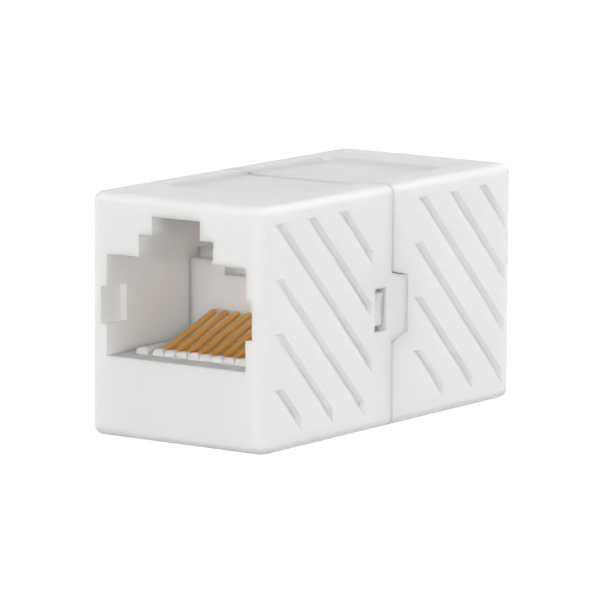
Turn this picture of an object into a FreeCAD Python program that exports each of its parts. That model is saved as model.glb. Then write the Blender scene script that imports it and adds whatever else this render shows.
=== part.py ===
import FreeCAD, Part
import os
from math import cos, pi, radians, sin, tan

import Sketcher
from FreeCAD import Placement, Rotation, Vector

# Inline coupler: two like snap-together shells, each with an eight-contact jack port.
# Frame: X across the ports, Y from the front port (-Y) to the rear port (+Y), Z up, and
# the origin at the centre of the flat base. Each half is modelled as the front one, on the
# -Y side of the seam at Y = 0, and the rear half is the same piece turned about Z.

DIMENSIONS = [
    # alias, millimetres or degrees, what it measures
    ("body_length", 31.2, "from port face to port face, both shells together"),
    ("side_wall", 1.6, "side walls beside the plug opening"),
    ("roof_wall", 1.4, "roof over the latch slot"),
    ("corner_radius", 1.0, "round of the upright edges beside each port"),
    ("rim_radius", 0.65, "round of the top and bottom edges"),
    ("seam_chamfer", 0.15, "broken edge of each shell at the seam"),
    ("base_wall", 1.2, "thickness of the floor under the contact carrier"),
    ("port_width", 12.0, "plug opening, across"),
    ("port_floor", 5.75, "height of the plug opening's floor above the base"),
    ("port_height", 7.2, "plug opening, floor to shoulder"),
    ("key_width", 6.4, "first step of the latch keyway, across"),
    ("key_height", 1.6, "rise of the first step"),
    ("slot_width", 4.15, "narrow slot at the top of the keyway, across"),
    ("slot_height", 1.35, "rise of the narrow slot"),
    ("slot_wall", 1.5, "depth of the narrow slot before the latch chamber opens out"),
    ("notch_depth", 0.53, "relief in each side wall of the opening, sideways"),
    ("notch_rise", 2.2, "from the port floor to the relief"),
    ("notch_height", 2.7, "height of the relief"),
    ("notch_length", 2.3, "relief, from the port face inwards"),
    ("sill_depth", 0.95, "front wall under the plug opening"),
    ("port_depth", 9.75, "from the port face to the wall that stops the plug"),
    ("tongue_length", 1.78, "reach of the side tongue past the seam"),
    ("tongue_thickness", 0.85, "outer layer of the side wall that carries the tongue"),
    ("tongue_low", 6.1, "underside of the tongue at its root, above the base"),
    ("tongue_height", 4.9, "tongue at its root"),
    ("tongue_taper_top", 0.38, "fall of the tongue's upper edge"),
    ("tongue_taper_low", 0.56, "rise of the tongue's lower edge"),
    ("window_gap", 0.72, "from the seam to the snap window"),
    ("window_length", 1.5, "snap window, along the coupler"),
    ("window_low", 6.95, "sill of the snap window above the base"),
    ("window_height", 3.12, "height of the snap window"),
    ("arm_length", 3.1, "reach of the snap arm past the seam"),
    ("arm_margin", 0.5, "snap arm, above and below the window"),
    ("hook_margin", 0.4, "gap above and below the hook in its window"),
    ("hook_recess", 0.3, "hook's crest below the outside of the wall"),
    ("hook_flat", 0.6, "crest of the hook, along the coupler"),
    ("fit_gap", 0.08, "clearance between pieces that slide together"),
    ("groove_width", 0.75, "grip groove's mouth, square to its run"),
    ("groove_depth", 0.45, "grip groove"),
    ("groove_draft", 20.0, "slope of the grooves' walls from square to the face"),
    ("groove_pitch", 2.72, "from groove to groove, square to their run"),
    ("groove_margin", 0.2, "from the corner's round to the grooves' ends"),
    ("groove_low", 0.52, "from the bottom edge's round to the grooves' ends"),
    ("groove_high", 0.6, "from the top edge's round to the grooves' ends"),
    ("window_margin", 0.28, "from the snap window to the grooves' ends"),
    ("seat_margin", 0.8, "from the tongue's seat to the grooves' ends"),
    ("tongue_side_lead", 3.72, "along the field's top to the first groove, window side"),
    ("hook_side_lead", 2.97, "along the field's top to the first groove, hook side"),
    ("panel_length", 20.4, "recessed panel of the top face, along the coupler"),
    ("panel_width", 10.5, "recessed panel, across"),
    ("panel_depth", 0.25, "recessed panel"),
    ("panel_draft", 58.0, "slope of the panel's edge from upright"),
    ("panel_round", 0.9, "corners of the panel"),
    ("contact_pitch", 1.016, "from contact to contact"),
    ("strip_width", 0.48, "contact strip"),
    ("strip_thickness", 0.28, "contact strip"),
    ("strip_gap", 0.07, "clearance around each strip in the carrier and the board"),
    ("bend_radius", 0.55, "contact strip's bends, on its centre line"),
    ("bend_depth", 3.05, "from the port face to the strip's rise"),
    ("tip_gap", 0.2, "from the contact's free end to the wall that stops the plug"),
    ("tip_rise", 2.25, "contact's free end above the port floor"),
    ("knee_drop", 0.065, "from the port floor down to the knee of the contact's spring arm"),
    ("low_row_drop", 3.25, "from the port floor down to the odd contacts' tails"),
    ("high_row_drop", 1.65, "from the port floor down to the even contacts' tails"),
    ("tail_proud", 0.5, "tails past the far face of the board"),
    ("tip_round", 0.2, "round of the contact's free end"),
    ("block_rise", 5.8, "carrier's back wall above the port floor"),
    ("block_notch_width", 5.8, "hollow in the top of the back wall, across"),
    ("block_notch_drop", 0.95, "the hollow, downwards"),
    ("block_notch_depth", 1.0, "the hollow, along the coupler"),
    ("solder_relief", 0.9, "pocket over the tails' ends in the carrier's back"),
    ("end_wall_set", 1.0, "from the back wall's face to the wall that ends the latch chamber"),
    ("end_wall", 1.2, "wall that ends the latch chamber"),
    ("comb_gap", 0.04, "from the comb to the strips' channels"),
    ("comb_length", 0.75, "comb teeth, along the coupler"),
    ("tooth_gap", 0.1, "between the comb's teeth"),
    ("tooth_height", 0.47, "comb tooth above the port floor"),
    ("tooth_round", 0.3, "round of the teeth"),
    ("rail_inner", 4.0, "from the middle to the carrier's side rail"),
    ("rail_width", 0.95, "side rail, across"),
    ("board_thickness", 1.6, "circuit board at the seam"),
]
CONTACTS = 8

doc = FreeCAD.newDocument("InlineCoupler")
dims = doc.addObject("Spreadsheet::Sheet", "dims")
for row, (alias, size, meaning) in enumerate(DIMENSIONS, 1):
    dims.set(f"A{row}", meaning)
    dims.set(f"B{row}", str(size))
    dims.setAlias(f"B{row}", alias)
doc.recompute()

# Places that several pieces share, as expressions on the sheet.
FACE = "(-dims.body_length / 2)"
PORT_SIDE = "(dims.port_width / 2)"
HALF_KEY = "(dims.key_width / 2)"
SIDE = f"({PORT_SIDE} + dims.side_wall)"
FLOOR = "dims.port_floor"
SHOULDER = "(dims.port_floor + dims.port_height)"
KEY_TOP = f"({SHOULDER} + dims.key_height)"
SLOT_TOP = f"({KEY_TOP} + dims.slot_height)"
TOP = f"({SLOT_TOP} + dims.roof_wall)"
LAYER = f"({SIDE} - dims.tongue_thickness)"            # inside of the side wall's outer layer
WINDOW_TOP = "(dims.window_low + dims.window_height)"
ARM_LOW = "(dims.window_low - dims.arm_margin)"
ARM_TOP = f"({WINDOW_TOP} + dims.arm_margin)"
BACK_WALL = f"({FACE} + dims.port_depth)"
BLOCK_TOP = f"({FLOOR} + dims.block_rise)"
LOW_ROW, HIGH_ROW = (f"({FLOOR} - dims.{drop})" for drop in ("low_row_drop", "high_row_drop"))
RISE = f"({FACE} + dims.bend_depth)"                   # upright run of each contact strip
TIP = (f"({BACK_WALL} - dims.tip_gap)", f"({FLOOR} + dims.tip_rise)")
ARM_SLOPE = f"atan((dims.tip_rise + dims.knee_drop) / ({TIP[0]} - {RISE}))"
BOARD_FACE = "(-dims.board_thickness / 2)"
FIRST_CONTACT = f"(-dims.contact_pitch * {(CONTACTS - 1) / 2})"
CHANNEL_WIDTH = "(dims.strip_width + 2 * dims.strip_gap)"
CHANNEL_HEIGHT = "(dims.strip_thickness + 2 * dims.strip_gap)"
HOLE_RADIUS = "(sqrt(dims.strip_width ^ 2 + dims.strip_thickness ^ 2) / 2 + dims.strip_gap)"
WINDOW_CLEAR = "(-dims.window_gap - dims.window_length - dims.window_margin)"
SEAT_CLEAR = "(-dims.tongue_length - dims.fit_gap - dims.seat_margin)"
NEAR = 0.01                                            # tolerance for picking edges by place


def value(expression):
    """Number that an expression on the sheet comes to."""
    return float(dims.evalExpression(expression))


# ---------------------------------------------------------------- modelling helpers

def new_body(name, turned=False):
    """Empty body, turned half round about Z where it belongs to the rear half."""
    body = doc.addObject("PartDesign::Body", name)
    body.Label = name
    if turned:
        body.Placement = Placement(Vector(0, 0, 0), Rotation(Vector(0, 0, 1), 180))
    return body


def sketch_on(body, name, plane, offset=None):
    """Sketch on one of the body's origin planes, moved along the plane's normal."""
    role = next(item for item in body.Origin.OriginFeatures if item.Role == plane)
    sketch = body.newObject("Sketcher::SketchObject", name)
    sketch.AttachmentSupport = [(role, "")]
    sketch.MapMode = "FlatFace"
    if offset:
        sketch.setExpression("AttachmentOffset.Base.z", offset)
    return sketch


def drive(sketch, kind, *target, by):
    """Dimension in a sketch that follows an expression."""
    index = sketch.addConstraint(Sketcher.Constraint(kind, *target, value(by)))
    sketch.setExpression(f"Constraints[{index}]", by)


def pin(sketch, line, end, across, along):
    """Fixes one end of a line at two expressions, measured from the sketch's origin."""
    drive(sketch, "DistanceX", -1, 1, line, end, by=across)
    drive(sketch, "DistanceY", -1, 1, line, end, by=along)


def outline(sketch, corners):
    """Closed outline of straight edges through corners given as pairs of expressions."""
    points = [Vector(value(across), value(along), 0) for across, along in corners]
    first = sketch.GeometryCount
    count = len(points)
    for index, point in enumerate(points):
        sketch.addGeometry(Part.LineSegment(point, points[(index + 1) % count]), False)
    for index, (across, along) in enumerate(corners):
        following = first + (index + 1) % count
        sketch.addConstraint(Sketcher.Constraint("Coincident", first + index, 2, following, 1))
        pin(sketch, first + index, 1, across, along)


def pinned_line(sketch, start, stop):
    """Line between two points given as pairs of expressions."""
    ends = [Vector(value(across), value(along), 0) for across, along in (start, stop)]
    line = sketch.addGeometry(Part.LineSegment(*ends), False)
    pin(sketch, line, 1, *start)
    pin(sketch, line, 2, *stop)
    return line


def rectangle(sketch, left, right, low, high):
    """Rectangle between four expressions."""
    outline(sketch, [(left, low), (right, low), (right, high), (left, high)])


def pad(body, sketch, length, reverse=False, middle=False):
    """Material added to a body from a sketch."""
    feature = body.newObject("PartDesign::Pad", sketch.Name + "_pad")
    feature.Profile = sketch
    feature.setExpression("Length", length)
    feature.Reversed = reverse
    feature.Midplane = middle
    doc.recompute()
    return feature


def pocket(body, sketch, depth, reverse=False, draft=None):
    """Material cut from a body by a sketch, which must take something away."""
    before = body.Shape.Volume
    feature = body.newObject("PartDesign::Pocket", sketch.Name + "_cut")
    feature.Profile = sketch
    feature.setExpression("Length", depth)
    feature.Reversed = reverse
    if draft:
        feature.setExpression("TaperAngle", draft)
    doc.recompute()
    if not body.Shape.Volume < before:
        raise ValueError(f"{feature.Name} points away from {body.Label}")
    return feature


def fillet(body, name, size, chosen, kind="Fillet", measure="Radius"):
    """Rounds the edges of the body's last shape whose bounding box is chosen."""
    base = body.Tip
    edges = [f"Edge{index}" for index, edge in enumerate(base.Shape.Edges, 1)
             if chosen(edge.BoundBox)]
    feature = body.newObject(f"PartDesign::{kind}", name)
    feature.Base = (base, edges)
    feature.setExpression(measure, size)
    doc.recompute()
    return feature


def chamfer(body, name, size, chosen):
    """Breaks the edges of the body's last shape whose bounding box is chosen."""
    return fillet(body, name, size, chosen, kind="Chamfer", measure="Size")


def repeat(body, feature, axis, spacing, count):
    """Row of copies of a feature, a fixed spacing apart."""
    row = body.newObject("PartDesign::LinearPattern", feature.Name + "_row")
    row.Originals = [feature]
    row.Direction = (axis, [""])
    row.setExpression("Length", f"{spacing} * {count - 1}")
    row.Occurrences = count
    body.Tip = row
    doc.recompute()
    return row


def origin_axis(body, role):
    """One of the body's own axes."""
    return next(item for item in body.Origin.OriginFeatures if item.Role == role)


# ---------------------------------------------------------------- shells

def add_block(body):
    """Half of the outer box, rounded all round except at the seam."""
    block = sketch_on(body, body.Label + "_block", "XY_Plane")
    rectangle(block, f"-{SIDE}", SIDE, FACE, "0")
    pad(body, block, TOP)
    face, height = value(FACE), value(TOP)
    fillet(body, body.Label + "_corners", "dims.corner_radius",
           lambda box: box.ZLength > height - NEAR and box.YMax < face + NEAR)
    fillet(body, body.Label + "_rims", "dims.rim_radius",
           lambda box: box.ZLength < NEAR and (box.YMin < -NEAR))
    chamfer(body, body.Label + "_seam", "dims.seam_chamfer", lambda box: box.YMin > -NEAR)


def add_port(body):
    """Stepped plug opening, side reliefs, latch chamber and the bay for the carrier."""
    opening = sketch_on(body, body.Label + "_opening", "XZ_Plane", f"-{FACE}")
    half_slot = "(dims.slot_width / 2)"
    steps = [(PORT_SIDE, FLOOR), (PORT_SIDE, SHOULDER), (HALF_KEY, SHOULDER),
             (HALF_KEY, KEY_TOP), (half_slot, KEY_TOP), (half_slot, SLOT_TOP)]
    mirrored = [(f"-{across}", along) for across, along in reversed(steps)]
    outline(opening, steps + mirrored)
    pocket(body, opening, f"-{FACE}")

    reliefs = sketch_on(body, body.Label + "_reliefs", "XZ_Plane", f"-{FACE}")
    edge = f"({PORT_SIDE} + dims.notch_depth)"
    low = f"({FLOOR} + dims.notch_rise)"
    rectangle(reliefs, f"-{edge}", edge, low, f"({low} + dims.notch_height)")
    pocket(body, reliefs, "dims.notch_length")

    chamber = sketch_on(body, body.Label + "_latch_chamber", "XZ_Plane")
    rectangle(chamber, f"-{HALF_KEY}", HALF_KEY, FLOOR, SLOT_TOP)
    pocket(body, chamber, f"-{FACE} - dims.slot_wall", reverse=True)

    bay = sketch_on(body, body.Label + "_carrier_bay", "XZ_Plane")
    rectangle(bay, f"-{PORT_SIDE}", PORT_SIDE, "dims.base_wall", SHOULDER)
    pocket(body, bay, f"-{FACE} - dims.sill_depth", reverse=True)


def tongue_outline(sketch, side, gap):
    """Tapered tongue that crosses the seam, or its seat in the other shell."""
    root, tip = ("-dims.window_gap / 2", f"(dims.tongue_length + {gap})")
    if side < 0:
        root, tip = ("dims.window_gap / 2", f"-(dims.tongue_length + {gap})")
    low, top = f"(dims.tongue_low - {gap})", f"(dims.tongue_low + dims.tongue_height + {gap})"
    outline(sketch, [(root, low), ("0", low), (tip, f"{low} + dims.tongue_taper_low"),
                     (tip, f"{top} - dims.tongue_taper_top"), ("0", top), (root, top)])


def add_snap(body):
    """Tongue, window and arm pocket on one side; tongue seat, arm and hook on the other."""
    window = sketch_on(body, body.Label + "_window", "YZ_Plane", SIDE)
    rectangle(window, "-(dims.window_gap + dims.window_length)", "-dims.window_gap",
              "dims.window_low", WINDOW_TOP)
    pocket(body, window, "dims.tongue_thickness + dims.fit_gap")

    arm_room = sketch_on(body, body.Label + "_arm_room", "XZ_Plane")
    rectangle(arm_room, f"{PORT_SIDE} - dims.fit_gap", LAYER,
              f"{ARM_LOW} - dims.fit_gap", f"{ARM_TOP} + dims.fit_gap")
    pocket(body, arm_room, "dims.arm_length + dims.fit_gap", reverse=True)

    tongue = sketch_on(body, body.Label + "_tongue", "YZ_Plane", SIDE)
    tongue_outline(tongue, 1, "0")
    pad(body, tongue, "dims.tongue_thickness", reverse=True)

    seat = sketch_on(body, body.Label + "_tongue_seat", "YZ_Plane", f"-{SIDE}")
    tongue_outline(seat, -1, "dims.fit_gap")
    pocket(body, seat, "dims.tongue_thickness + dims.fit_gap", reverse=True)

    arm_face = f"({LAYER} - dims.fit_gap)"
    arm = sketch_on(body, body.Label + "_arm", "XZ_Plane")
    rectangle(arm, f"-{arm_face}", f"-({PORT_SIDE} + dims.fit_gap)", ARM_LOW, ARM_TOP)
    pad(body, arm, "dims.arm_length", reverse=True)

    hook = sketch_on(body, body.Label + "_hook", "XY_Plane",
                     "dims.window_low + dims.hook_margin")
    crest = f"({SIDE} - dims.hook_recess)"
    catch = "(dims.window_gap + dims.fit_gap)"
    root = f"({arm_face} - dims.fit_gap)"
    ramp_end = "(dims.window_gap + dims.window_length - dims.fit_gap)"
    outline(hook, [(f"-{root}", catch), (f"-{crest}", catch),
                   (f"-{crest}", f"{catch} + dims.hook_flat"),
                   (f"-{arm_face}", ramp_end), (f"-{root}", ramp_end)])
    pad(body, hook, "dims.window_height - 2 * dims.hook_margin")


def add_grooves(body, side, seam_end, lead):
    """Slanted grip grooves in one side face, falling to the right as seen from outside.

    Each starts with a level end and stops at a plumb foot inside the field, which keeps
    clear of the outer rounds and of the snap. The count follows from field and pitch.
    """
    sketch = sketch_on(body, f"{body.Label}_grooves_{'right' if side > 0 else 'left'}",
                       "YZ_Plane", SIDE if side > 0 else f"-{SIDE}")
    port_end = f"({FACE} + dims.corner_radius + dims.groove_margin)"
    left, right = (port_end, seam_end) if side > 0 else (f"(-{seam_end})", f"(-{port_end})")
    low = "(dims.rim_radius + dims.groove_low)"
    high = f"({TOP} - dims.rim_radius - dims.groove_high)"
    half = "(dims.groove_width * sqrt(2) / 2)"
    step = "dims.groove_pitch * sqrt(2)"
    room = value(f"{right} - {left} + {high} - {low} - {lead}")
    for index in range(int(room / value(step)) + 1):
        line = f"({right} + {high} - {lead} - {index} * {step})"
        start = f"max({left} + {half}; {line} - {high})"
        stop = f"min({right}; {line} - {low} - {half})"
        if value(f"{stop} - {start}") < value("dims.groove_pitch / 2"):
            continue
        turn = "" if side > 0 else "-"
        outline(sketch, [
            (f"{turn}({start} - {half})", f"{line} - {start}"),
            (f"{turn}({start} + {half})", f"{line} - {start}"),
            (f"{turn}({stop})", f"{line} - {stop} + {half}"),
            (f"{turn}({stop})", f"{line} - {stop} - {half}"),
        ])
    pocket(body, sketch, "dims.groove_depth", reverse=side < 0, draft="-dims.groove_draft")


def add_panel(body):
    """Half of the recessed panel in the top face, with round corners, open at the seam."""
    panel = sketch_on(body, body.Label + "_panel", "XY_Plane", TOP)
    half, end = "(dims.panel_width / 2)", "(-dims.panel_length / 2)"
    inner, shoulder = f"({half} - dims.panel_round)", f"({end} + dims.panel_round)"
    beyond = "dims.panel_round"
    left = pinned_line(panel, (f"-{half}", beyond), (f"-{half}", shoulder))
    front = pinned_line(panel, (f"-{inner}", end), (inner, end))
    right = pinned_line(panel, (half, shoulder), (half, beyond))
    seam_end = panel.addGeometry(Part.LineSegment(
        Vector(value(half), value(beyond), 0), Vector(-value(half), value(beyond), 0)), False)
    panel.addConstraint(Sketcher.Constraint("Coincident", right, 2, seam_end, 1))
    panel.addConstraint(Sketcher.Constraint("Coincident", seam_end, 2, left, 1))
    for before, after, side, start in ((left, front, -1, pi), (front, right, 1, 3 * pi / 2)):
        centre = Vector(side * value(inner), value(shoulder), 0)
        ring = Part.Circle(centre, Vector(0, 0, 1), value("dims.panel_round"))
        arc = panel.addGeometry(Part.ArcOfCircle(ring, start, start + pi / 2), False)
        panel.addConstraint(Sketcher.Constraint("Tangent", before, 2, arc, 1))
        panel.addConstraint(Sketcher.Constraint("Coincident", arc, 2, after, 1))
    pocket(body, panel, "dims.panel_depth", draft="-dims.panel_draft")


def make_shell(name, turned):
    """One half of the housing."""
    body = new_body(name, turned)
    add_block(body)
    add_panel(body)
    add_grooves(body, 1, WINDOW_CLEAR, "dims.tongue_side_lead")
    add_grooves(body, -1, SEAT_CLEAR, "dims.hook_side_lead")
    add_port(body)
    add_snap(body)
    return body


# ---------------------------------------------------------------- contact carriers

def contact_row(parity):
    """Height expression of the tails of the odd (1) or even (0) contacts."""
    return LOW_ROW if parity else HIGH_ROW


def add_channels(body, parity):
    """Every second contact's channel: open on top, then straight through to the board."""
    first = f"({FIRST_CONTACT} + {1 - parity} * dims.contact_pitch)"
    left, right = (f"{first} {side} {CHANNEL_WIDTH} / 2" for side in "-+")
    low, high = (f"{contact_row(parity)} {side} {CHANNEL_HEIGHT} / 2" for side in "-+")
    name = f"{body.Label}_{'odd' if parity else 'even'}"
    slot = sketch_on(body, name + "_slot", "XY_Plane", FLOOR)
    front = f"({RISE} - {CHANNEL_HEIGHT} / 2)"
    rectangle(slot, left, right, front, BACK_WALL)
    cut = pocket(body, slot, f"{FLOOR} - ({low})")
    repeat(body, cut, origin_axis(body, "X_Axis"), "2 * dims.contact_pitch", CONTACTS // 2)

    run = sketch_on(body, name + "_run", "XZ_Plane", f"-{BACK_WALL}")
    rectangle(run, left, right, low, high)
    cut = pocket(body, run, f"{BOARD_FACE} - {BACK_WALL}")
    repeat(body, cut, origin_axis(body, "X_Axis"), "2 * dims.contact_pitch", CONTACTS // 2)


def add_comb(body):
    """Row of round-topped teeth in front of the strips, and the rail beside the first one."""
    back = f"({RISE} - {CHANNEL_HEIGHT} / 2 - dims.comb_gap)"
    front = f"({back} - dims.comb_length)"
    tooth = sketch_on(body, body.Label + "_tooth", "XY_Plane", f"{FLOOR} - dims.base_wall")
    centre = f"({FIRST_CONTACT} + dims.contact_pitch / 2)"
    half = "(dims.contact_pitch - dims.tooth_gap) / 2"
    rectangle(tooth, f"{centre} - {half}", f"{centre} + {half}", front, back)
    first = pad(body, tooth, "dims.tooth_height + dims.base_wall")
    repeat(body, first, origin_axis(body, "X_Axis"), "dims.contact_pitch", CONTACTS)

    rail = sketch_on(body, body.Label + "_rail", "XY_Plane", f"{FLOOR} - dims.base_wall")
    rectangle(rail, "-(dims.rail_inner + dims.rail_width)", "-dims.rail_inner",
              front, f"{BACK_WALL} + dims.fit_gap")
    pad(body, rail, "dims.tooth_height + dims.base_wall")
    top, wall = value(f"{FLOOR} + dims.tooth_height"), value(BACK_WALL)
    fillet(body, body.Label + "_tooth_rounds", "dims.tooth_round",
           lambda box: abs(box.ZMin - top) < NEAR and abs(box.ZMax - top) < NEAR
           and box.YMin < wall - NEAR)


def make_carrier(name, turned):
    """Moulded carrier: a base full of strip channels and a wall that stops the plug."""
    body = new_body(name, turned)
    front = f"({FACE} + dims.sill_depth + dims.fit_gap)"
    profile = sketch_on(body, name + "_profile", "YZ_Plane")
    outline(profile, [(front, "dims.base_wall"), (BOARD_FACE, "dims.base_wall"),
                      (BOARD_FACE, BLOCK_TOP), (BACK_WALL, BLOCK_TOP),
                      (BACK_WALL, FLOOR), (front, FLOOR)])
    pad(body, profile, "dims.port_width - 2 * dims.fit_gap", middle=True)

    hollow = sketch_on(body, name + "_hollow", "XZ_Plane", f"-{BACK_WALL}")
    half = "(dims.block_notch_width / 2)"
    rectangle(hollow, f"-{half}", half, f"{BLOCK_TOP} - dims.block_notch_drop",
              f"{BLOCK_TOP} + dims.fit_gap")
    pocket(body, hollow, "dims.block_notch_depth")

    end = sketch_on(body, name + "_end_wall", "XZ_Plane", f"-({BACK_WALL} + dims.end_wall_set)")
    wide, narrow = (f"({side} - dims.fit_gap)" for side in (PORT_SIDE, HALF_KEY))
    low, high = (f"({top} - dims.fit_gap)" for top in (SHOULDER, SLOT_TOP))
    steps = [(wide, BLOCK_TOP), (wide, low), (narrow, low), (narrow, high)]
    outline(end, steps + [(f"-{across}", along) for across, along in reversed(steps)])
    pad(body, end, "dims.end_wall", reverse=True)

    relief = sketch_on(body, name + "_solder_relief", "XZ_Plane", f"-{BOARD_FACE}")
    reach = f"({CHANNEL_WIDTH} - {FIRST_CONTACT})"
    rectangle(relief, f"-{reach}", reach, f"{LOW_ROW} - {CHANNEL_WIDTH}",
              f"{HIGH_ROW} + {CHANNEL_WIDTH}")
    pocket(body, relief, "dims.solder_relief", reverse=True)

    add_comb(body)
    for parity in (1, 0):
        add_channels(body, parity)
    return body


# ---------------------------------------------------------------- contacts

def contact_path(sketch, row):
    """Centre line: tail, bottom bend, rise, knee and sloping spring arm."""
    tail = (value("dims.board_thickness / 2 + dims.tail_proud"), value(row))
    rise, tip = value(RISE), (value(TIP[0]), value(TIP[1]))
    radius, slope = value("dims.bend_radius"), radians(value(ARM_SLOPE))
    corner = tip[1] - (tip[0] - rise) * tan(slope)
    reach = radius * tan((pi / 2 - slope) / 2)
    low_centre = Vector(rise + radius, tail[1] + radius, 0)
    top_centre = Vector(rise + radius, corner - reach, 0)
    arm_start = Vector(rise + reach * cos(slope), corner + reach * sin(slope), 0)
    tail_line = sketch.addGeometry(Part.LineSegment(
        Vector(*tail, 0), Vector(rise + radius, tail[1], 0)), False)
    low_bend = sketch.addGeometry(Part.ArcOfCircle(
        Part.Circle(low_centre, Vector(0, 0, 1), radius), pi, 3 * pi / 2), False)
    rise_line = sketch.addGeometry(Part.LineSegment(
        Vector(rise, low_centre.y, 0), Vector(rise, top_centre.y, 0)), False)
    top_bend = sketch.addGeometry(Part.ArcOfCircle(
        Part.Circle(top_centre, Vector(0, 0, 1), radius), pi / 2 + slope, pi), False)
    arm_line = sketch.addGeometry(Part.LineSegment(arm_start, Vector(*tip, 0)), False)
    for constraint in (
        Sketcher.Constraint("Horizontal", tail_line),
        Sketcher.Constraint("Vertical", rise_line),
        Sketcher.Constraint("Tangent", tail_line, 2, low_bend, 2),
        Sketcher.Constraint("Tangent", low_bend, 1, rise_line, 1),
        Sketcher.Constraint("Tangent", rise_line, 2, top_bend, 2),
        Sketcher.Constraint("Tangent", top_bend, 1, arm_line, 1),
        Sketcher.Constraint("Equal", low_bend, top_bend),
    ):
        sketch.addConstraint(constraint)
    pin(sketch, tail_line, 1, "dims.board_thickness / 2 + dims.tail_proud", row)
    pin(sketch, arm_line, 2, *TIP)
    drive(sketch, "DistanceX", -1, 1, rise_line, 1, by=RISE)
    drive(sketch, "Radius", low_bend, by="dims.bend_radius")
    lean = sketch.addConstraint(Sketcher.Constraint("Angle", arm_line, slope))
    sketch.setExpression(f"Constraints[{lean}]", ARM_SLOPE)


def make_contact(name, number, turned):
    """Bent flat strip with a rounded end, set at its place in the row of eight."""
    body = new_body(name, turned)
    sign = "-" if turned else ""
    body.setExpression("Placement.Base.x",
                       f"{sign}({FIRST_CONTACT} + {number - 1} * dims.contact_pitch)")
    row = contact_row(number % 2)
    path = sketch_on(body, name + "_path", "YZ_Plane")
    contact_path(path, row)
    section = sketch_on(body, name + "_section", "XZ_Plane",
                        "-(dims.board_thickness / 2 + dims.tail_proud)")
    rectangle(section, "-dims.strip_width / 2", "dims.strip_width / 2",
              f"{row} - dims.strip_thickness / 2", f"{row} + dims.strip_thickness / 2")
    doc.recompute()
    strip = body.newObject("PartDesign::AdditivePipe", name + "_strip")
    strip.Profile = section
    strip.Spine = (path, [f"Edge{index + 1}" for index in range(path.GeometryCount)])
    doc.recompute()
    tip, thickness = value(TIP[1]), value("dims.strip_thickness")
    fillet(body, name + "_tip", "dims.tip_round",
           lambda box: box.XLength < NEAR and box.YLength < thickness
           and box.ZMin > tip - thickness)
    return body


# ---------------------------------------------------------------- circuit board

def make_board():
    """Upright board at the seam, with a plated hole for each tail of both jacks."""
    body = new_body("circuit_board")
    panel = sketch_on(body, "board_outline", "XZ_Plane")
    half = f"({PORT_SIDE} - dims.fit_gap)"
    rectangle(panel, f"-{half}", half, "dims.base_wall", f"{SHOULDER} - dims.fit_gap")
    pad(body, panel, "dims.board_thickness", middle=True)
    for parity in (1, 0):
        holes = sketch_on(body, f"board_holes_{parity}", "XZ_Plane", f"-{BOARD_FACE}")
        row = contact_row(parity)
        circle = holes.addGeometry(Part.Circle(
            Vector(value(FIRST_CONTACT), value(row), 0), Vector(0, 0, 1),
            value(HOLE_RADIUS)), False)
        pin(holes, circle, 3, FIRST_CONTACT, row)
        drive(holes, "Radius", circle, by=HOLE_RADIUS)
        cut = pocket(body, holes, "dims.board_thickness")
        repeat(body, cut, origin_axis(body, "X_Axis"), "dims.contact_pitch", CONTACTS)
    return body


# ---------------------------------------------------------------- the coupler

pieces = [make_board()]
for half_name, is_turned in (("front", False), ("rear", True)):
    pieces.append(make_shell(half_name + "_shell", is_turned))
    pieces.append(make_carrier(half_name + "_contact_carrier", is_turned))
    for contact in range(1, CONTACTS + 1):
        pieces.append(make_contact(f"{half_name}_contact_{contact}", contact, is_turned))
doc.recompute()

for item in doc.Objects:
    if "Invalid" in item.State or "Error" in item.State:
        raise ValueError(f"{item.Name} failed: {item.State}")
for piece in pieces:
    if piece.Shape.isNull() or not piece.Shape.isValid() or len(piece.Shape.Solids) != 1:
        raise ValueError(f"{piece.Label} is not one sound solid")

os.makedirs("parts", exist_ok=True)
for piece in pieces:
    piece.Shape.exportStep(f"parts/{piece.Label}.step")
    print(f"{piece.Label}: {piece.Shape.Volume:.2f} mm3")
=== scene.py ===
import logging
import math
from dataclasses import dataclass
from enum import Enum

import bpy
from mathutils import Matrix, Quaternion, Vector


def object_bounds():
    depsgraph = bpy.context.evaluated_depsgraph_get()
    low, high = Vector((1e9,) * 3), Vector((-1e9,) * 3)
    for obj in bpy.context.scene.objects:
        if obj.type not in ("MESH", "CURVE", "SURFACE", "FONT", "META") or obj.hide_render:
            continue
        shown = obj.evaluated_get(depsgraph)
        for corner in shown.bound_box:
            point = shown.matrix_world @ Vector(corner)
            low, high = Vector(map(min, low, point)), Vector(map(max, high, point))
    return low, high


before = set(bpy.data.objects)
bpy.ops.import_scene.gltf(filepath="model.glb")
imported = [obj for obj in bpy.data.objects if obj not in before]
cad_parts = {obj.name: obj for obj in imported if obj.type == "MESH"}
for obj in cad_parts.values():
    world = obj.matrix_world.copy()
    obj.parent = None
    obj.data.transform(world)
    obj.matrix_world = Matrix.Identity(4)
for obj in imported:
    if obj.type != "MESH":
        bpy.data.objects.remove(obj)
CAD_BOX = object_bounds()

LOG = logging.getLogger("inline_coupler")
MM = 0.001
MICRON = 1e-6
WHITE = (1.0, 1.0, 1.0, 1.0)
MASK_RANGE = (0.3, 0.7)          # most of a noise mask's values lie between these


class Half(Enum):
    """The coupler's two like halves."""

    FRONT = "front"
    REAR = "rear"


# ---------------------------------------------------------------- node helpers


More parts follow.
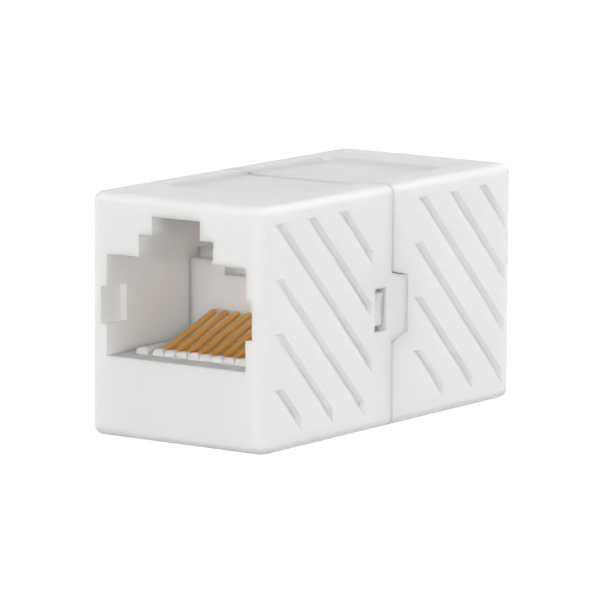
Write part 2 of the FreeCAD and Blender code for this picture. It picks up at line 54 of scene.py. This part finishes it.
@dataclass
class NodeSheet:
    """Node tree with short calls for adding and joining nodes."""

    tree: bpy.types.NodeTree

    def add(self, kind: str, label: str = "", **values: object) -> bpy.types.Node:
        """Adds a node and sets its properties or input sockets.

        Args:
            kind: Node type, without the "ShaderNode" prefix for shader nodes.
            label: Name shown on the node.
            values: Properties, or input sockets with underscores for spaces.

        Returns:
            The new node.
        """
        node = self.tree.nodes.new(kind if kind.startswith("Node") else f"ShaderNode{kind}")
        node.label = label
        for name, value in values.items():
            if hasattr(node, name):
                setattr(node, name, value)
            else:
                node.inputs[name.replace("_", " ")].default_value = value
        return node

    def join(self, source: bpy.types.NodeSocket, target: bpy.types.NodeSocket) -> None:
        """Links one socket to another."""
        self.tree.links.new(source, target)

    def maths(self, operation: str, *operands: object) -> bpy.types.NodeSocket:
        """Adds a Math node.

        Args:
            operation: The node's operation.
            operands: Numbers or sockets.

        Returns:
            The node's output socket.
        """
        node = self.tree.nodes.new("ShaderNodeMath")
        node.operation = operation
        for index, operand in enumerate(operands):
            if isinstance(operand, (int, float)):
                node.inputs[index].default_value = operand
            else:
                self.join(operand, node.inputs[index])
        return node.outputs[0]

    def remap(self, value: bpy.types.NodeSocket, old: tuple[float, float],
              new: tuple[float, float]) -> bpy.types.NodeSocket:
        """Adds a Map Range node, which also holds the result within the new range.

        Args:
            value: Socket of the number.
            old: Two values of that number.
            new: What they become.

        Returns:
            The node's output socket.
        """
        node = self.add("MapRange", From_Min=old[0], From_Max=old[1],
                        To_Min=new[0], To_Max=new[1])
        self.join(value, node.inputs["Value"])
        return node.outputs["Result"]


def new_group(name: str, inputs: dict[str, float], outputs: dict[str, str]) -> NodeSheet:
    """Makes an empty shader node group with its sockets.

    Args:
        name: Name of the group.
        inputs: Input names with their default numbers.
        outputs: Output names with their socket types.

    Returns:
        The sheet of the group's tree.
    """
    tree = bpy.data.node_groups.new(name, "ShaderNodeTree")
    for title, default in inputs.items():
        socket = tree.interface.new_socket(name=title, in_out="INPUT",
                                           socket_type="NodeSocketFloat")
        socket.default_value = default
    for title, kind in outputs.items():
        tree.interface.new_socket(name=title, in_out="OUTPUT", socket_type=kind)
    return NodeSheet(tree)


def place_group(sheet: NodeSheet, group: bpy.types.NodeTree,
                **values: float) -> bpy.types.Node:
    """Places a node group in a material with its own values.

    Args:
        sheet: The material's sheet.
        group: The group to place.
        values: Input numbers, with underscores for spaces.

    Returns:
        The group node.
    """
    node = sheet.tree.nodes.new("ShaderNodeGroup")
    node.node_tree = group
    for name, value in values.items():
        node.inputs[name.replace("_", " ")].default_value = value
    return node


# ---------------------------------------------------------------- shared effects


class MouldGrain:
    """Fine eroded texture of a moulding tool, with the faint tone of the melt's flow."""

    name = "mould_grain"

    def build(self) -> bpy.types.NodeTree:
        """Builds the group.

        Returns:
            The group, which puts out grain height, a slow tone mask and a sheen mask.
        """
        sheet = new_group(
            self.name,
            {"Grain Scale": 9000.0, "Flow Scale": 160.0, "Sheen Scale": 420.0},
            {"Height": "NodeSocketFloat", "Tone": "NodeSocketFloat",
             "Sheen": "NodeSocketFloat"})
        inputs = sheet.add("NodeGroupInput")
        outputs = sheet.add("NodeGroupOutput")
        place = sheet.add("TexCoord")
        grain = sheet.add("TexNoise", "eroded grain", Detail=3.0, Roughness=0.6)
        pits = sheet.add("TexVoronoi", "grain pits", feature="SMOOTH_F1")
        flow = sheet.add("TexNoise", "melt flow", Detail=2.0, Roughness=0.45,
                         Distortion=0.6)
        sheen = sheet.add("TexNoise", "sheen patches", Detail=2.0)
        for node in (grain, pits, flow, sheen):
            sheet.join(place.outputs["Object"], node.inputs["Vector"])
        for node in (grain, pits):
            sheet.join(inputs.outputs["Grain Scale"], node.inputs["Scale"])
        sheet.join(inputs.outputs["Flow Scale"], flow.inputs["Scale"])
        sheet.join(inputs.outputs["Sheen Scale"], sheen.inputs["Scale"])
        mixed = sheet.maths("MULTIPLY", pits.outputs["Distance"], 0.5)
        height = sheet.maths("ADD", grain.outputs["Fac"], mixed)
        sheet.join(height, outputs.inputs["Height"])
        sheet.join(flow.outputs["Fac"], outputs.inputs["Tone"])
        sheet.join(sheen.outputs["Fac"], outputs.inputs["Sheen"])
        return sheet.tree


class DrawnLines:
    """Lines that rolling leaves along a metal strip, with small patches of duller plating."""

    name = "drawn_lines"
    squeeze = (1.0, 0.02, 0.05)  # small along Y and Z, where a line runs far

    def build(self) -> bpy.types.NodeTree:
        """Builds the group.

        Returns:
            The group, which puts out line height, a dullness mask and a mask of the
            side faces, where the plating gets painted light.
        """
        sheet = new_group(
            self.name,
            {"Line Scale": 14000.0, "Patch Scale": 900.0},
            {"Height": "NodeSocketFloat", "Dull": "NodeSocketFloat",
             "Painted Side Light": "NodeSocketFloat"})
        inputs = sheet.add("NodeGroupInput")
        outputs = sheet.add("NodeGroupOutput")
        place = sheet.add("TexCoord")
        stretch = sheet.add("Mapping", "long along Y and Z")
        stretch.inputs["Scale"].default_value = self.squeeze
        sheet.join(place.outputs["Object"], stretch.inputs["Vector"])
        lines = sheet.add("TexNoise", "rolling lines", Detail=2.0)
        patches = sheet.add("TexNoise", "plating patches", Detail=3.0)
        sheet.join(stretch.outputs["Vector"], lines.inputs["Vector"])
        sheet.join(place.outputs["Object"], patches.inputs["Vector"])
        sheet.join(inputs.outputs["Line Scale"], lines.inputs["Scale"])
        sheet.join(inputs.outputs["Patch Scale"], patches.inputs["Scale"])
        sheet.join(lines.outputs["Fac"], outputs.inputs["Height"])
        sheet.join(patches.outputs["Fac"], outputs.inputs["Dull"])
        axes = sheet.add("SeparateXYZ")
        sheet.join(place.outputs["Normal"], axes.inputs["Vector"])
        # mask of the strips' side faces, where painted light lightens the gold
        sheet.join(sheet.maths("ABSOLUTE", axes.outputs["X"]), outputs.inputs["Painted Side Light"])
        return sheet.tree


@dataclass(frozen=True)
class SharedEffects:
    """Node groups that several finishes place with their own values."""

    grain: bpy.types.NodeTree
    lines: bpy.types.NodeTree

    @classmethod
    def build(cls) -> "SharedEffects":
        """Builds each shared group once."""
        return cls(MouldGrain().build(), DrawnLines().build())


# ---------------------------------------------------------------- finishes


def start_material(name: str) -> tuple[bpy.types.Material, NodeSheet, bpy.types.Node]:
    """Makes a material with a bare Principled shader.

    Args:
        name: Name of the material.

    Returns:
        The material, its sheet and the shader node.
    """
    material = bpy.data.materials.new(name)
    material.use_nodes = True
    sheet = NodeSheet(material.node_tree)
    sheet.tree.nodes.clear()
    output = sheet.add("OutputMaterial")
    shader = sheet.add("BsdfPrincipled")
    sheet.join(shader.outputs["BSDF"], output.inputs["Surface"])
    return material, sheet, shader


def tint(sheet: NodeSheet, mask: bpy.types.NodeSocket, low: tuple[float, float, float],
         high: tuple[float, float, float]) -> bpy.types.NodeSocket:
    """Colour that runs between two tints as a mask goes through its range.

    Args:
        sheet: The material's sheet.
        mask: Socket of the mask.
        low: Colour where the mask is low.
        high: Colour where it is high.

    Returns:
        Socket of the colour.
    """
    ramp = sheet.add("ValToRGB", "tone")
    for stop, position, colour in zip(ramp.color_ramp.elements, MASK_RANGE, (low, high)):
        stop.position = position
        stop.color = (*colour, 1.0)
    sheet.join(mask, ramp.inputs["Fac"])
    return ramp.outputs["Color"]


def mix_colours(sheet: NodeSheet, mask: bpy.types.NodeSocket, first: bpy.types.NodeSocket,
                second: tuple[float, float, float]) -> bpy.types.NodeSocket:
    """Colour that turns from a first one to a second as a mask goes from 0 to 1.

    Args:
        sheet: The material's sheet.
        mask: Socket of the mask.
        first: Socket of the first colour.
        second: The second colour.

    Returns:
        Socket of the mixed colour.
    """
    node = sheet.add("Mix", "two colours", data_type="RGBA")
    factor, first_in, second_in = (node.inputs[index] for index in (0, 6, 7))
    second_in.default_value = (*second, 1.0)
    sheet.join(mask, factor)
    sheet.join(first, first_in)
    return node.outputs[2]


def spread(sheet: NodeSheet, mask: bpy.types.NodeSocket, low: float,
           high: float) -> bpy.types.NodeSocket:
    """Number that runs between two values as a mask goes through its range.

    Args:
        sheet: The material's sheet.
        mask: Socket of the mask.
        low: Value where the mask is low.
        high: Value where it is high.

    Returns:
        Socket of the number.
    """
    return sheet.remap(mask, MASK_RANGE, (low, high))


def add_relief(sheet: NodeSheet, shader: bpy.types.Node, height: bpy.types.NodeSocket,
               depth: float) -> None:
    """Feeds a height to the shader's normal through a Bump node.

    Args:
        sheet: The material's sheet.
        shader: The Principled node.
        height: Socket of the height, about 0 to 1.
        depth: Height of that relief, in metres.
    """
    bump = sheet.add("Bump", "relief", Strength=1.0, Distance=depth)
    sheet.join(height, bump.inputs["Height"])
    sheet.join(bump.outputs["Normal"], shader.inputs["Normal"])


@dataclass(frozen=True)
class MouldedPlastic:
    """Pale grey-white moulded plastic with a satin skin."""

    name: str
    shade: tuple[float, float, float]
    drift: float
    roughness: tuple[float, float]
    grain_depth: float
    light_depth: float = 1.3 * MM
    refraction: float = 1.5

    def build(self, effects: SharedEffects) -> bpy.types.Material:
        """Builds the material.

        Args:
            effects: The shared node groups.

        Returns:
            The material.
        """
        material, sheet, shader = start_material(self.name)
        grain = place_group(sheet, effects.grain)
        darker = tuple(channel * (1 - self.drift) for channel in self.shade)
        lighter = tuple(min(1.0, channel * (1 + self.drift)) for channel in self.shade)
        sheet.join(tint(sheet, grain.outputs["Tone"], darker, lighter),
                   shader.inputs["Base Color"])
        sheet.join(spread(sheet, grain.outputs["Sheen"], *self.roughness),
                   shader.inputs["Roughness"])
        shader.inputs["IOR"].default_value = self.refraction
        shader.inputs["Subsurface Weight"].default_value = 1.0
        shader.inputs["Subsurface Radius"].default_value = (1.0, 1.0, 1.0)
        shader.inputs["Subsurface Scale"].default_value = self.light_depth
        add_relief(sheet, shader, grain.outputs["Height"], self.grain_depth)
        return material


@dataclass(frozen=True)
class PlatedStrip:
    """Thin gold plating over rolled spring metal, its side faces made paler with painted
    light.
    """

    name: str
    shade: tuple[float, float, float]
    # paler gold of the side faces: painted light, not a real colour of the plating
    painted_side_light: tuple[float, float, float]
    drift: float
    roughness: tuple[float, float]
    line_depth: float
    metal: float = 0.2

    def build(self, effects: SharedEffects) -> bpy.types.Material:
        """Builds the material.

        Args:
            effects: The shared node groups.

        Returns:
            The material.
        """
        material, sheet, shader = start_material(self.name)
        lines = place_group(sheet, effects.lines)
        darker = tuple(channel * (1 - self.drift) for channel in self.shade)
        plating = tint(sheet, lines.outputs["Dull"], darker, self.shade)
        # side faces turn to the paler gold: painted light on the strips' sides
        sheet.join(mix_colours(sheet, lines.outputs["Painted Side Light"], plating, self.painted_side_light),
                   shader.inputs["Base Color"])
        sheet.join(spread(sheet, lines.outputs["Dull"], *self.roughness),
                   shader.inputs["Roughness"])
        shader.inputs["Metallic"].default_value = self.metal
        add_relief(sheet, shader, lines.outputs["Height"], self.line_depth)
        return material


@dataclass(frozen=True)
class BoardLaminate:
    """Glass-fibre board under green solder mask, with the weave just showing."""

    name: str
    mask_shade: tuple[float, float, float]
    weave_shade: tuple[float, float, float]
    weave_scale: float
    roughness: tuple[float, float]
    weave_depth: float

    def build(self, effects: SharedEffects) -> bpy.types.Material:
        """Builds the material.

        Args:
            effects: The shared node groups.

        Returns:
            The material.
        """
        material, sheet, shader = start_material(self.name)
        place = sheet.add("TexCoord")
        across = sheet.add("TexWave", "weft", bands_direction="X", Distortion=0.4)
        along = sheet.add("TexWave", "warp", bands_direction="Z", Distortion=0.4)
        for node in (across, along):
            node.inputs["Scale"].default_value = self.weave_scale
            sheet.join(place.outputs["Object"], node.inputs["Vector"])
        weave = sheet.maths("MAXIMUM", across.outputs["Fac"], along.outputs["Fac"])
        sheet.join(tint(sheet, weave, self.mask_shade, self.weave_shade),
                   shader.inputs["Base Color"])
        grain = place_group(sheet, effects.grain)
        sheet.join(spread(sheet, grain.outputs["Sheen"], *self.roughness),
                   shader.inputs["Roughness"])
        add_relief(sheet, shader, weave, self.weave_depth)
        return material


# ---------------------------------------------------------------- the coupler


@dataclass
class Piece:
    """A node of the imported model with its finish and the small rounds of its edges."""

    node: str
    finish: bpy.types.Material
    edge_round: float = 0.0
    round_steps: int = 3
    sharp_angle: float = 35.0
    join_distance: float = 0.0001 * MM
    face_weight: int = 80

    def dress(self) -> bpy.types.Object:
        """Gives the node its material and modifiers.

        Returns:
            The node's object.
        """
        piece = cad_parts[self.node]
        piece.data.materials.clear()
        piece.data.materials.append(self.finish)
        if self.edge_round:
            joined = piece.modifiers.new("joined_edges", "WELD")
            joined.merge_threshold = self.join_distance
            rounded = piece.modifiers.new("edge_rounds", "BEVEL")
            rounded.width = self.edge_round
            rounded.segments = self.round_steps
            rounded.limit_method = "ANGLE"
            rounded.angle_limit = math.radians(self.sharp_angle)
            smoothed = piece.modifiers.new("flat_faces", "WEIGHTED_NORMAL")
            smoothed.mode = "FACE_AREA"
            smoothed.weight = self.face_weight
        LOG.info("dressed %s", self.node)
        return piece


@dataclass
class CouplerHalf:
    """One half: its shell, the contact carrier in it and the eight strips."""

    half: Half
    shell_finish: bpy.types.Material
    carrier_finish: bpy.types.Material
    strip_finish: bpy.types.Material
    contacts: int = 8
    shell_round: float = 0.1 * MM
    strip_round: float = 0.06 * MM

    def dress(self) -> None:
        """Dresses every piece of this half."""
        side = self.half.value
        Piece(f"{side}_shell", self.shell_finish, self.shell_round).dress()
        Piece(f"{side}_contact_carrier", self.carrier_finish).dress()
        for number in range(1, self.contacts + 1):
            Piece(f"{side}_contact_{number}", self.strip_finish, self.strip_round).dress()


# ---------------------------------------------------------------- studio


@dataclass
class Floor:
    """Plain pale floor that fades into the white surroundings."""

    reach: float = 3.0
    shade: float = 0.45
    whiteness: float = 0.95
    roughness: float = 0.9
    drop: float = 0.01 * MM

    def build(self) -> bpy.types.Object:
        """Builds the floor under the coupler.

        Returns:
            The floor.
        """
        low, _ = CAD_BOX
        height = low.z - self.drop
        mesh = bpy.data.meshes.new("floor")
        corners = [(x * self.reach, y * self.reach, height)
                   for x, y in ((-1, -1), (1, -1), (1, 1), (-1, 1))]
        mesh.from_pydata(corners, [], [(0, 1, 2, 3)])
        floor = bpy.data.objects.new("floor", mesh)
        bpy.context.scene.collection.objects.link(floor)
        floor.data.materials.append(self.finish())
        return floor

    def finish(self) -> bpy.types.Material:
        """Builds the floor's material, which is diffuse and white where it is looked at.

        Returns:
            The material.
        """
        material, sheet, shader = start_material("floor_sweep")
        shader.inputs["Base Color"].default_value = (self.shade, self.shade, self.shade, 1)
        shader.inputs["Roughness"].default_value = self.roughness
        shader.inputs["Specular IOR Level"].default_value = 0.0
        white = sheet.add("Emission", "white sweep", Color=WHITE)
        sheet.join(sheet.maths("MULTIPLY", seen_rays(sheet), self.whiteness),
                   white.inputs["Strength"])
        both = sheet.add("AddShader")
        output = sheet.tree.get_output_node("ALL")
        sheet.join(shader.outputs["BSDF"], both.inputs[0])
        sheet.join(white.outputs["Emission"], both.inputs[1])
        sheet.join(both.outputs["Shader"], output.inputs["Surface"])
        return material


def seen_rays(sheet: NodeSheet) -> bpy.types.NodeSocket:
    """Mask of the rays that show the background: camera, glossy and transmission rays.

    Args:
        sheet: The sheet of the material or the world.

    Returns:
        Socket of the mask.
    """
    light_path = sheet.add("LightPath")
    seen = sheet.maths("MAXIMUM", light_path.outputs["Is Camera Ray"],
                       light_path.outputs["Is Glossy Ray"])
    return sheet.maths("MAXIMUM", seen, light_path.outputs["Is Transmission Ray"])


@dataclass(frozen=True)
class SoftBox:
    """Square soft lamp aimed at the coupler, placed by its bearing from it."""

    name: str
    azimuth: float
    elevation: float
    power: float
    side: float = 0.4
    distance: float = 0.5

    def build(self, target: Vector) -> bpy.types.Object:
        """Builds the lamp.

        Args:
            target: Point that the lamp is aimed at.

        Returns:
            The lamp.
        """
        lamp = bpy.data.lights.new(self.name, "AREA")
        lamp.shape = "SQUARE"
        lamp.size = self.side
        lamp.energy = self.power
        stand = bpy.data.objects.new(self.name, lamp)
        bearing = direction(self.azimuth, self.elevation)
        stand.location = target + bearing * self.distance
        stand.rotation_mode = "QUATERNION"
        stand.rotation_quaternion = (-bearing).to_track_quat("-Z", "Y")
        bpy.context.scene.collection.objects.link(stand)
        return stand


def direction(azimuth: float, elevation: float) -> Vector:
    """Unit vector from the coupler: azimuth 0 is towards -Y and 90 towards +X.

    Args:
        azimuth: Degrees about the upright axis.
        elevation: Degrees above the horizon.

    Returns:
        The unit vector.
    """
    turn, rise = math.radians(azimuth), math.radians(elevation)
    return Vector((math.sin(turn) * math.cos(rise), -math.cos(turn) * math.cos(rise),
                   math.sin(rise)))


@dataclass
class Studio:
    """Surroundings: a glow round the horizon, soft lamps and the floor.

    The glow ends between the two heights of glow_top, which are sines of the elevation, and
    front_glow is what it gains before the front port, in a lobe that front_reach narrows.
    """

    glow: float = 4.2
    front_glow: float = 2.2
    front_reach: float = 8.0
    glow_top: tuple[float, float] = (0.19, 0.21)
    lamps: tuple[SoftBox, ...] = (
        SoftBox("top_lamp", azimuth=0, elevation=80, power=0.8),
        SoftBox("back_lamp", azimuth=150, elevation=50, power=0.9),
    )

    def build(self, target: Vector) -> None:
        """Builds the world and the lamps round a point.

        Args:
            target: Point that the lamps are aimed at.
        """
        Floor().build()
        for lamp in self.lamps:
            lamp.build(target)
        world = bpy.data.worlds.new("studio")
        world.use_nodes = True
        bpy.context.scene.world = world
        sheet = NodeSheet(world.node_tree)
        sheet.tree.nodes.clear()
        output = sheet.add("OutputWorld")
        light = sheet.add("Background", "horizon glow", Color=WHITE)
        sheet.join(self.glow_strength(sheet), light.inputs["Strength"])
        shown = sheet.add("Background", "white surroundings", Color=WHITE, Strength=1.0)
        mix = sheet.add("MixShader")
        sheet.join(seen_rays(sheet), mix.inputs[0])
        sheet.join(light.outputs["Background"], mix.inputs[1])
        sheet.join(shown.outputs["Background"], mix.inputs[2])
        sheet.join(mix.outputs["Shader"], output.inputs["Surface"])

    def glow_strength(self, sheet: NodeSheet) -> bpy.types.NodeSocket:
        """Strength of the world light: a glow along the horizon, stronger in front.

        Args:
            sheet: The world's sheet.

        Returns:
            Socket of the strength.
        """
        place = sheet.add("TexCoord")
        axes = sheet.add("SeparateXYZ")
        sheet.join(place.outputs["Generated"], axes.inputs["Vector"])
        fade = sheet.remap(axes.outputs["Z"], self.glow_top, (1.0, 0.0))
        turned = sheet.maths("MULTIPLY_ADD", axes.outputs["Y"], -0.5, 0.5)
        front = sheet.maths("POWER", turned, self.front_reach)
        strength = sheet.maths("MULTIPLY_ADD", front, self.front_glow, self.glow)
        return sheet.maths("MULTIPLY", strength, fade)


@dataclass
class Camera:
    """Long lens aimed at the coupler's middle, off one port and one side."""

    azimuth: float = 35.24
    elevation: float = 8.68
    roll: float = 0.316
    yaw: float = 0.053
    pitch: float = -0.043
    distance: float = 404.2 * MM
    lens: float = 338.4
    sensor: float = 36.0
    nearest: float = 0.01
    furthest: float = 20.0

    def build(self, target: Vector) -> bpy.types.Object:
        """Builds the camera and makes it the scene's.

        Args:
            target: Middle of the coupler.

        Returns:
            The camera.
        """
        data = bpy.data.cameras.new("camera")
        data.lens = self.lens
        data.sensor_width = self.sensor
        data.clip_start = self.nearest
        data.clip_end = self.furthest
        camera = bpy.data.objects.new("camera", data)
        bearing = direction(self.azimuth, self.elevation)
        camera.location = target + bearing * self.distance
        camera.rotation_mode = "QUATERNION"
        aim = (-bearing).to_track_quat("-Z", "Y")
        for axis, angle in (((0, 1, 0), self.yaw), ((1, 0, 0), self.pitch),
                            ((0, 0, 1), self.roll)):
            aim = aim @ Quaternion(axis, math.radians(angle))
        camera.rotation_quaternion = aim
        bpy.context.scene.collection.objects.link(camera)
        bpy.context.scene.camera = camera
        return camera


# ---------------------------------------------------------------- main


def main() -> None:
    """Dresses the coupler and sets it in its studio."""
    logging.basicConfig(level=logging.INFO)
    effects = SharedEffects.build()
    housing = MouldedPlastic("housing_plastic", shade=(0.885, 0.885, 0.88), drift=0.01,
                             roughness=(0.35, 0.42), grain_depth=2 * MICRON).build(effects)
    insert = MouldedPlastic("carrier_plastic", shade=(0.885, 0.885, 0.88), drift=0.01,
                            roughness=(0.35, 0.42), grain_depth=1.5 * MICRON).build(effects)
    # the second gold lightens the strips' side faces as painted light
    gold = PlatedStrip("gold_plating", shade=(1.0, 0.45, 0.06), painted_side_light=(1.0, 0.58, 0.15),
                       drift=0.05, roughness=(0.3, 0.4), line_depth=MICRON).build(effects)
    laminate = BoardLaminate("board_laminate", mask_shade=(0.01, 0.11, 0.04),
                             weave_shade=(0.02, 0.17, 0.07), weave_scale=300.0,
                             roughness=(0.25, 0.38), weave_depth=4 * MICRON).build(effects)
    for half in Half:
        CouplerHalf(half, housing, insert, gold).dress()
    Piece("circuit_board", laminate).dress()
    low, high = CAD_BOX
    middle = (low + high) / 2
    Studio().build(middle)
    Camera().build(middle)
    bpy.context.scene.view_settings.view_transform = "Standard"


if __name__ == "__main__":
    main()
